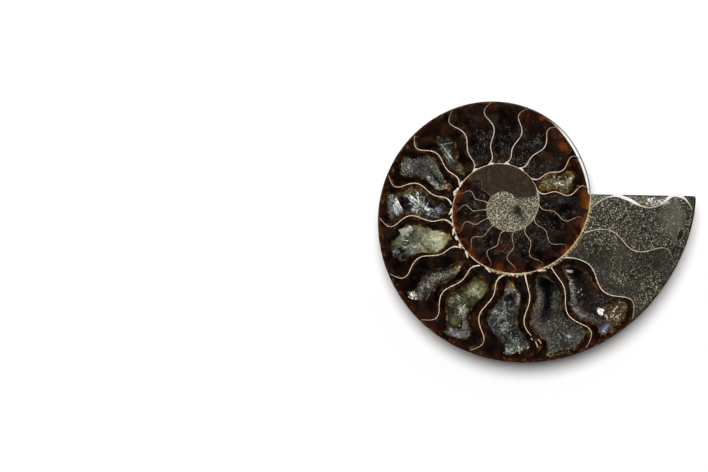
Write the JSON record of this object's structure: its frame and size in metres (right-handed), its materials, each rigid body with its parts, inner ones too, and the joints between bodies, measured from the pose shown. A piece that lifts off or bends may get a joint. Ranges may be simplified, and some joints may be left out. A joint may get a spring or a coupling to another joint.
{
  "type": "ammonite fossil half",
  "caption": "Half of a coiled ammonite fossil, sawn and polished on one face, with chambers between curved walls, some of them open hollows lined with crystals.",
  "frame": {"origin": "centre of the bounding box in plan, at the level of the flank that the half lies on", "axes": "+Z is the normal of the polished face, +X runs along the longest extent towards the mouth of the shell, +Y is the side with the inner whorl's rim"},
  "size_m": [0.1106, 0.0908, 0.0155],
  "materials": {
    "fossil_calcite": "polished dark brown calcite",
    "brown_druse": "brown crystal crust",
    "grey_druse": "fine grey crystal crust",
    "blue_grey_druse": "blue-grey crystal crust",
    "green_calcite": "pale green translucent calcite",
    "white_calcite": "white bladed calcite",
    "gold_calcite": "golden white calcite"
  },
  "bodies": {
    "root": {"ammonite_half": "fossil_calcite", "crystal_crust_02": "brown_druse", "crystal_crust_03": "grey_druse", "crystal_crust_04": "blue_grey_druse", "crystal_crust_05": "green_calcite", "crystal_crust_06": "grey_druse", "crystal_crust_07": "green_calcite", "crystal_crust_08": "white_calcite", "crystal_crust_09": "grey_druse", "crystal_crust_10": "white_calcite", "crystal_crust_15": "gold_calcite"}
  },
  "joints": []
}
